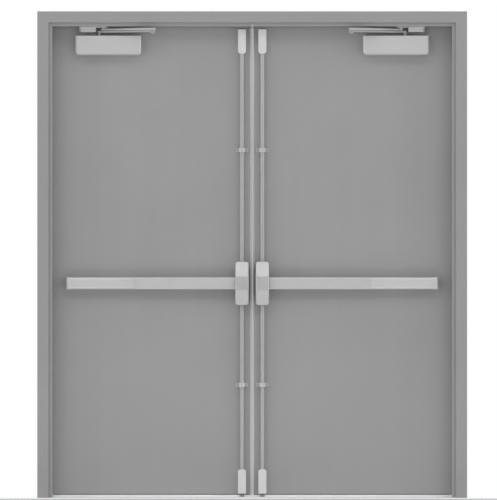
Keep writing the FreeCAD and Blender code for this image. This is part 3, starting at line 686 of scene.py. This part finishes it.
@dataclass(frozen=True)
class FastenerHeads:
    """Like screw heads on a set of spots, made by one node tree."""

    radius: float
    height: float
    socket_share: float = 0.5
    socket_depth: float = 1.2 * MM
    sides: int = 12
    seed: int = 4

    def on(self, name: str, spots: list[Spot], finish: Finish) -> bpy.types.Object:
        """One piece with a head on every spot.

        Args:
            name: The piece's name.
            spots: Where each head stands, with the way it faces.
            finish: The heads' finish.

        Returns:
            The piece, as a plain mesh.
        """
        cloud = bpy.data.meshes.new(name)
        cloud.from_pydata([spot for spot, _ in spots], [], [])
        ways = cloud.attributes.new(HeadTree.FACING, "FLOAT_VECTOR", "POINT")
        for value, (_, way) in zip(ways.data, spots):
            value.vector = way
        piece = new_object(name, cloud)
        tree = HeadTree.ready()
        heads = piece.modifiers.new("heads", "NODES")
        heads.node_group = tree
        values = {"Radius": self.radius, "Height": self.height, "Socket Share": self.socket_share,
                  "Socket Depth": self.socket_depth, "Sides": self.sides, "Seed": self.seed,
                  "Finish": finish.material()}
        for item in tree.interface.items_tree:
            if item.name in values:
                heads[item.identifier] = values[item.name]
        seen = piece.evaluated_get(bpy.context.evaluated_depsgraph_get())
        plain = bpy.data.meshes.new_from_object(seen)
        piece.modifiers.clear()
        piece.data = plain
        plain.name = name
        return piece


@dataclass(frozen=True)
class HingeScrews:
    """The staggered screws of the three hinges on one edge.

    Attributes:
        hinge_height: Height of one hinge.
        plate_width: How wide its plates are.
        pattern: Each screw of a plate: up from the middle and across from the edge, as shares.
    """

    hinge_height: float = 114 * MM
    plate_width: float = 38 * MM
    pattern: tuple[Span, ...] = ((-0.38, 0.34), (-0.13, 0.68), (0.13, 0.34), (0.38, 0.68))

    def places(self, plates: str) -> list[tuple[float, float]]:
        """Where the screws of an edge stand.

        Args:
            plates: The node of the edge's hinge plates.

        Returns:
            The (y, z) places of the screws.
        """
        low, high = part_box(plates)
        bottom = low[2] + self.hinge_height / 2
        top = high[2] - self.hinge_height / 2
        return [(low[1] + across * self.plate_width, level + up * self.hinge_height)
                for level in (bottom, (bottom + top) / 2, top) for up, across in self.pattern]


FLUSH_HEADS = FastenerHeads(radius=4.6 * MM, height=0.4 * MM, socket_depth=1.0 * MM)
PAN_HEADS = FastenerHeads(radius=4.2 * MM, height=2.4 * MM)
HINGE_SCREWS = HingeScrews()


class Assembly(Protocol):
    """What every sub-assembly of the door does."""

    def dress(self) -> None:
        """Gives every solid its finish."""

    def build(self) -> list[bpy.types.Object]:
        """The pieces that it adds to its solids."""


@dataclass
class FrameSet:
    """The pressed-steel frame with its threshold, strikes, anchors, hinge plates and closer shoes."""

    stop_height: float = 16 * MM
    stop_reveal: float = 14 * MM
    sill_screw_count: int = 7
    sill_screw_from_end: float = 60 * MM
    sill_screw_y: float = -16 * MM
    shoe_screws_from_end: Span = (20 * MM, 55 * MM)
    head_seal_half: float = 7 * MM
    head_seal_thickness: float = 3.5 * MM
    head_seal_lip: float = 10 * MM
    body: str = "frame"

    FINISHES: ClassVar[dict[str, Finish]] = {
        "left_jamb": FRAME_ENAMEL, "right_jamb": FRAME_ENAMEL, "head_jamb": FRAME_ENAMEL,
        # The threshold's very light aluminium is partly painted light.
        "threshold": SILL_ALUMINIUM_PAINTED_LIGHT, "sill_lip": SILL_ALUMINIUM_PAINTED_LIGHT, "floor_clips": ANCHOR_ZINC,
        "wall_straps": ANCHOR_ZINC, "top_strikes": STRIKE_SATIN, "floor_strikes": STRIKE_SATIN,
        # The closer shoes' lighter silver is painted light.
        "frame_hinge_leaves": HINGE_SATIN, "closer_shoes": SHOE_SILVER_PAINTED_LIGHT}

    def dress(self) -> None:
        """Gives every solid of the frame its finish."""
        dress(self.FINISHES)

    def build(self) -> list[bpy.types.Object]:
        """The frame's fasteners and the seal block over the meeting edges.

        Returns:
            The new pieces.
        """
        screws = (FLUSH_HEADS.on("sill_screws", self.sill_spots(), SCREW_STEEL),
                  FLUSH_HEADS.on("frame_hinge_screws", self.hinge_spots(), SCREW_STEEL),
                  PAN_HEADS.on("shoe_screws", self.shoe_spots(), SCREW_STEEL))
        pieces = [settle(heads, self.body) for heads in screws]
        pieces.append(settle(self.head_seal(), self.body))
        return pieces

    def sill_spots(self) -> list[Spot]:
        """A row of spots along the base plate's push side.

        Returns:
            The spots, all facing up.
        """
        _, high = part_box("threshold")
        reach = high[0] - self.sill_screw_from_end
        step = 2 * reach / (self.sill_screw_count - 1)
        columns = [-reach + i * step for i in range(self.sill_screw_count)]
        return [(Vector((x, self.sill_screw_y, high[2])), UP) for x in columns]

    def hinge_spots(self) -> list[Spot]:
        """Four spots on each hinge plate in the jambs' rabbets.

        Returns:
            The spots, facing into the opening.
        """
        _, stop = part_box("left_jamb")
        face = stop[0] - self.stop_height
        return [(side.at(face, y, z), side.at(1, 0, 0))
                for side in Side for y, z in HINGE_SCREWS.places("frame_hinge_leaves")]

    def shoe_spots(self) -> list[Spot]:
        """Two spots under each closer shoe."""
        low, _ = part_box("closer_shoes")
        return [(side.at(low[0] + reach, 0, low[2]), DOWN)
                for side in Side for reach in self.shoe_screws_from_end]

    def head_seal(self) -> bpy.types.Object:
        """The block under the head where the leaves meet, hooked over the stop's push side.

        Returns:
            The block.
        """
        stop, soffit = face_y() + self.stop_reveal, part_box("head_jamb")[0][2]
        front, back = stop - self.head_seal_thickness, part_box("left_astragal")[0][1]
        under, lip = soffit - self.head_seal_thickness, soffit + self.head_seal_lip
        outline = ((stop, soffit), (stop, lip), (front, lip), (front, under), (back, under), (back, soffit))
        start = [Vector((-self.head_seal_half, y, z)) for y, z in outline]
        return extruded("meeting_head_seal", start, Vector((2 * self.head_seal_half, 0, 0)), EDGE_SEAL)


@dataclass
class Leaf:
    """One hollow steel leaf with its hinge plates, meeting-edge strip and seals."""

    side: Side
    seal_reach: float = 2.2 * MM
    seal_depth: float = 9 * MM
    seal_steps: int = 8
    sweep_drop: float = 3.5 * MM
    sweep_rise: float = 23 * MM
    sweep_thickness: float = 12 * MM
    channel_wall: float = 3 * MM

    FINISHES: ClassVar[dict[str, Finish]] = {
        "push_skin": LEAF_ENAMEL, "pull_skin": LEAF_ENAMEL, "end_channels": LEAF_ENAMEL,
        "door_hinge_leaves": HINGE_SATIN, "astragal": EDGE_ALUMINIUM}

    def dress(self) -> None:
        """Gives every solid of the leaf its finish."""
        dress(self.FINISHES, self.side)

    def build(self) -> list[bpy.types.Object]:
        """The leaf's seals and hinge screws.

        Returns:
            The new pieces.
        """
        body = self.side.named("leaf")
        screws = FLUSH_HEADS.on(self.side.named("hinge_screws"), self.hinge_spots(), SCREW_STEEL)
        return [settle(self.seal(), body), settle(self.sweep(), body),
                settle(screws, body)]

    def hinge_spots(self) -> list[Spot]:
        """Four spots on each hinge plate in the leaf's edge."""
        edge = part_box("left_pull_skin")[0][0]
        return [(self.side.at(edge, y, z), self.side.at(-1, 0, 0))
                for y, z in HINGE_SCREWS.places("left_door_hinge_leaves")]

    def seal(self) -> bpy.types.Object:
        """The soft bead along the meeting edge, which closes the gap between the leaves.

        Returns:
            The bead.
        """
        low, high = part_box("left_push_skin")
        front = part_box("left_astragal")[0][1]
        bottom = low[2] - self.sweep_drop
        start = []
        for i in range(self.seal_steps + 1):
            angle = math.pi * i / self.seal_steps
            start.append(self.side.at(high[0] + self.seal_reach * math.sin(angle),
                                      front + self.seal_depth * (1 - math.cos(angle)) / 2, bottom))
        return extruded(self.side.named("meeting_seal"), start, Vector((0, 0, high[2] - bottom)), EDGE_SEAL)

    def sweep(self) -> bpy.types.Object:
        """The seal in the leaf's bottom channel, which hangs a little below the leaf.

        Returns:
            The seal.
        """
        low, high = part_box("left_push_skin")
        front = low[1] + self.channel_wall
        back, chamfer = front + self.sweep_thickness, self.sweep_thickness / 4
        top, bottom = low[2] + self.sweep_rise, low[2] - self.sweep_drop
        edge = low[2] - self.sweep_drop / 2
        outline = ((front, top), (front, edge), (front + chamfer, bottom), (back - chamfer, bottom),
                   (back, edge), (back, top))
        start = [self.side.at(low[0] + self.channel_wall, y, z) for y, z in outline]
        length = high[0] - low[0] - 2 * self.channel_wall
        return extruded(self.side.named("bottom_seal"), start, self.side.at(length, 0, 0), SWEEP_SEAL)


@dataclass
class ExitDevice:
    """One push-rail exit device: rail, pad, covers, centre case, rods, guides, latch cases and bolts."""

    side: Side
    guide_base: float = 4 * MM
    guide_half_height: float = 10 * MM
    guide_screw_inset: float = 7.5 * MM

    FINISHES: ClassVar[dict[str, Finish]] = {
        # The cover's lighter silver is partly painted highlight.
        "rail": PAD_SILVER, "push_pad": PAD_SILVER, "rail_cover": COVER_SILVER_PAINTED_HIGHLIGHT, "rail_end_cap": COVER_SILVER_PAINTED_HIGHLIGHT,
        "centre_case": CASE_SILVER, "latch_cases": LATCH_SILVER, "rod_guides": GUIDE_SILVER,
        "top_rod": ROD_SATIN, "bottom_rod": ROD_SATIN, "top_bolt": LATCH_STEEL, "bottom_bolt": LATCH_STEEL}

    def dress(self) -> None:
        """Gives every solid of the device its finish."""
        dress(self.FINISHES, self.side)

    def build(self) -> list[bpy.types.Object]:
        """The screws of the rod guides."""
        screws = PAN_HEADS.on(self.side.named("guide_screws"), self.guide_spots(), SCREW_STEEL)
        return [settle(screws, self.side.named("leaf"))]

    def guide_spots(self) -> list[Spot]:
        """One spot on each flange of both rod guides.

        Returns:
            The spots, facing the push side.
        """
        low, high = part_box("left_rod_guides")
        face = high[1] - self.guide_base
        return [(self.side.at(x, face, z), TO_PUSH_SIDE)
                for z in (low[2] + self.guide_half_height, high[2] - self.guide_half_height)
                for x in (low[0] + self.guide_screw_inset, high[0] - self.guide_screw_inset)]


@dataclass
class Closer:
    """One overhead closer: cover, casting and the two arms."""

    side: Side

    FINISHES: ClassVar[dict[str, Finish]] = {
        # The main arm's darker silver is painted shade.
        "closer_cover": CLOSER_SILVER, "closer_body": CLOSER_CAST, "closer_arm": ARM_SILVER_PAINTED_SHADE,
        "closer_forearm": FOREARM_SILVER}

    def dress(self) -> None:
        """Gives every solid of the closer its finish."""
        dress(self.FINISHES, self.side)

    def build(self) -> list[bpy.types.Object]:
        """The closer has no pieces of its own beyond its solids."""
        return []


def stage_panel(name: str, corners: list[Point], material: bpy.types.Material) -> bpy.types.Object:
    """A flat panel of the stage, which is no part of the door.

    Args:
        name: The panel's name.
        corners: Its corners in order.
        material: Its material.

    Returns:
        The panel.
    """
    mesh = bpy.data.meshes.new(name)
    mesh.from_pydata(corners, [], [tuple(range(len(corners)))])
    mesh.materials.append(material)
    panel = new_object(name, mesh)
    return panel


@dataclass(frozen=True)
class SoftBox:
    """One wide lamp that the camera doesn't see."""

    name: str
    glow: float
    place: Point
    aim: Point
    size: Span

    def hang(self) -> None:
        """Puts the lamp in the scene, as strong as its glow needs for its size."""
        lamp = bpy.data.lights.new(self.name, "AREA")
        lamp.shape = "RECTANGLE"
        lamp.size, lamp.size_y = self.size
        lamp.energy = self.glow * math.pi * lamp.size * lamp.size_y
        hung = bpy.data.objects.new(self.name, lamp)
        hung.location = self.place
        hung.rotation_euler = (Vector(self.aim) - Vector(self.place)).to_track_quat("-Z", "Y").to_euler()
        hung.visible_camera = False
        bpy.context.scene.collection.objects.link(hung)


@dataclass(frozen=True)
class PaleFloor:
    """The floor: white to look at behind the frame's face, with a soft shade painted into its colour in
    front of the door.

    Attributes:
        reach: Half its length and width.
        drop: How far it lies below the door.
        grey: Its colour.
        roughness: How matt it is.
        shade_share: What is left of the colour where the shade is full.
        shade_start: Where the shade begins and where it is full, in y from the frame's face.
        shade_end: Where the shade begins to end and where it is gone, in y from the frame's face.
        shade_sides: The same to both sides, in x from the middle.
        white: Where the floor begins to turn white and where it is white, in y from the frame's face.
    """

    reach: float = 40.0
    drop: float = 1 * MM
    grey: Colour = shade(236)
    roughness: float = 0.9
    shade_share: float = 0.63
    shade_start: Span = (-0.6, -0.2)
    shade_end: Span = (-0.15, -0.02)
    shade_sides: Span = (1.15, 1.8)
    white: Span = (-0.13, 0.1)

    def lay(self) -> None:
        """Puts the floor in the scene."""
        surface = Surface("studio_floor")
        place = surface.node("ShaderNodeSeparateXYZ", Vector=surface.place).outputs
        surface.give("Roughness", self.roughness)
        surface.give("Base Color", surface.tinted(self.grey, self.shaded(surface, place["X"], place["Y"])))
        glow = surface.node("ShaderNodeEmission", Strength=1.0).outputs[0]
        start, end = self.from_face(self.white)
        white = surface.product(surface.seen_directly(), surface.spread(place["Y"], 0.0, 1.0, start, end))
        shown = surface.mixed(white, surface.shader.outputs[0], glow)
        surface.feed(surface.tree.nodes["Material Output"].inputs["Surface"], shown)
        reach, z = self.reach, -self.drop
        corners = [(-reach, -reach, z), (reach, -reach, z), (reach, reach, z), (-reach, reach, z)]
        stage_panel("floor", corners, surface.material)

    def from_face(self, span: Span) -> Span:
        """A span that counts from the frame's face, as plain y."""
        start, end = span
        return face_y() + start, face_y() + end

    def shaded(self, surface: Surface, x: Socket, y: Socket) -> Socket:
        """How much of the colour the painted shade in front of the door leaves.

        Args:
            surface: The floor's surface.
            x: The place along the opening.
            y: The place in front of the door or behind it.

        Returns:
            A share of 1 away from the shade.
        """
        rise = surface.spread(y, 0.0, 1.0, *self.from_face(self.shade_start))
        fall = surface.spread(y, 1.0, 0.0, *self.from_face(self.shade_end))
        near, far = self.shade_sides
        beside = surface.spread(surface.product(x, x), 1.0, 0.0, near ** 2, far ** 2)
        return surface.spread(surface.product(rise, fall, beside), 1.0, self.shade_share, 0.0, 1.0)


@dataclass(frozen=True)
class GreyCard:
    """A card behind the camera, so that metal which faces it straight on looks deeper than its edges."""

    distance: float = 26.0
    width: float = 22.0
    height: float = 17.0
    grey: Colour = shade(110)
    roughness: float = 0.9

    def stand(self) -> None:
        """Puts the card in the scene, out of the camera's sight."""
        surface = Surface("studio_card")
        surface.give("Base Color", (*self.grey, 1))
        surface.give("Roughness", self.roughness)
        half, y = self.width / 2, face_y() - self.distance
        corners = [(-half, y, self.height), (half, y, self.height), (half, y, 0), (-half, y, 0)]
        stage_panel("card", corners, surface.material).visible_camera = False


@dataclass(frozen=True)
class FarCamera:
    """A level camera, square to the push side, that puts the door where the picture has it.

    Attributes:
        image_height: The picture's height in pixels.
        middle_column: The column of the picture's middle.
        middle_row: The row of the picture's middle.
        door_column: The column of the opening's middle.
        floor_row: The row where the frame's face meets the floor.
        pixel: What one pixel measures at the frame's face.
        distance: From the frame's face to the camera.
        sensor: The sensor's height, in the lens's own millimetres.
    """

    image_height: int = 500
    middle_column: float = 248.5
    middle_row: float = 250.0
    door_column: float = 252.2
    floor_row: float = 497.9
    pixel: float = 4.49 * MM
    distance: float = 24.0
    sensor: float = 24.0

    def place(self) -> None:
        """Puts the camera in the scene and makes it the one that is used."""
        lens = bpy.data.cameras.new("camera")
        lens.sensor_fit = "VERTICAL"
        lens.sensor_height = self.sensor
        lens.lens = self.sensor * self.distance / (self.image_height * self.pixel)
        camera = bpy.data.objects.new("camera", lens)
        camera.location = ((self.middle_column - self.door_column) * self.pixel, face_y() - self.distance,
                           (self.floor_row - self.middle_row) * self.pixel)
        camera.rotation_euler = (math.pi / 2, 0, 0)
        bpy.context.scene.collection.objects.link(camera)
        bpy.context.scene.camera = camera


@dataclass(frozen=True)
class Studio:
    """Soft light, a pale floor, a grey card and a far camera."""

    ambient: float = 0.778
    lamps: tuple[SoftBox, ...] = (
        SoftBox("key", glow=0.8, place=(0.0, -7.0, 7.6), aim=(0.0, 0.0, 1.2), size=(16.0, 3.0)),
        SoftBox("left_side", glow=2.4, place=(-8.0, -1.5, 1.8), aim=(0.0, 0.0, 1.1), size=(4.0, 5.0)),
        SoftBox("right_side", glow=2.4, place=(8.0, -1.5, 1.8), aim=(0.0, 0.0, 1.1), size=(4.0, 5.0)),
        SoftBox("head", glow=0.85, place=(0.0, -1.6, 2.14), aim=(0.0, 0.0, 2.14), size=(4.4, 0.5)),
        SoftBox("foot", glow=1.5, place=(0.0, -1.1, 0.2), aim=(0.0, 0.0, 0.42), size=(4.4, 0.2)))
    floor: PaleFloor = PaleFloor()
    card: GreyCard = GreyCard()
    camera: FarCamera = FarCamera()

    def build(self) -> None:
        """World, lamps, floor, card and camera."""
        bpy.context.scene.view_settings.view_transform = "Standard"
        self.light_world()
        for lamp in self.lamps:
            lamp.hang()
        self.floor.lay()
        self.card.stand()
        self.camera.place()

    def light_world(self) -> None:
        """White to look at, and an even soft light on the object."""
        world = bpy.data.worlds.new("studio")
        bpy.context.scene.world = world
        world.use_nodes = True
        graph = Graph(world.node_tree)
        soft = graph.tree.nodes["Background"]
        graph.feed(soft.inputs["Color"], WHITE)
        graph.feed(soft.inputs["Strength"], self.ambient)
        white = graph.node("ShaderNodeBackground", Color=WHITE)
        shown = graph.mixed(graph.seen_directly(), soft.outputs[0], white.outputs[0])
        graph.feed(graph.tree.nodes["World Output"].inputs["Surface"], shown)


def main() -> None:
    """Dresses and builds every sub-assembly, then the studio."""
    logging.basicConfig(level=logging.INFO, format="%(name)s: %(message)s")
    assemblies: list[Assembly] = [FrameSet()]
    for side in Side:
        assemblies += [Leaf(side), ExitDevice(side), Closer(side)]
    for assembly in assemblies:
        assembly.dress()
        for piece in assembly.build():
            LOG.info("%s: %d faces", piece.name, len(piece.data.polygons))
    Studio().build()


if __name__ == "__main__":
    main()
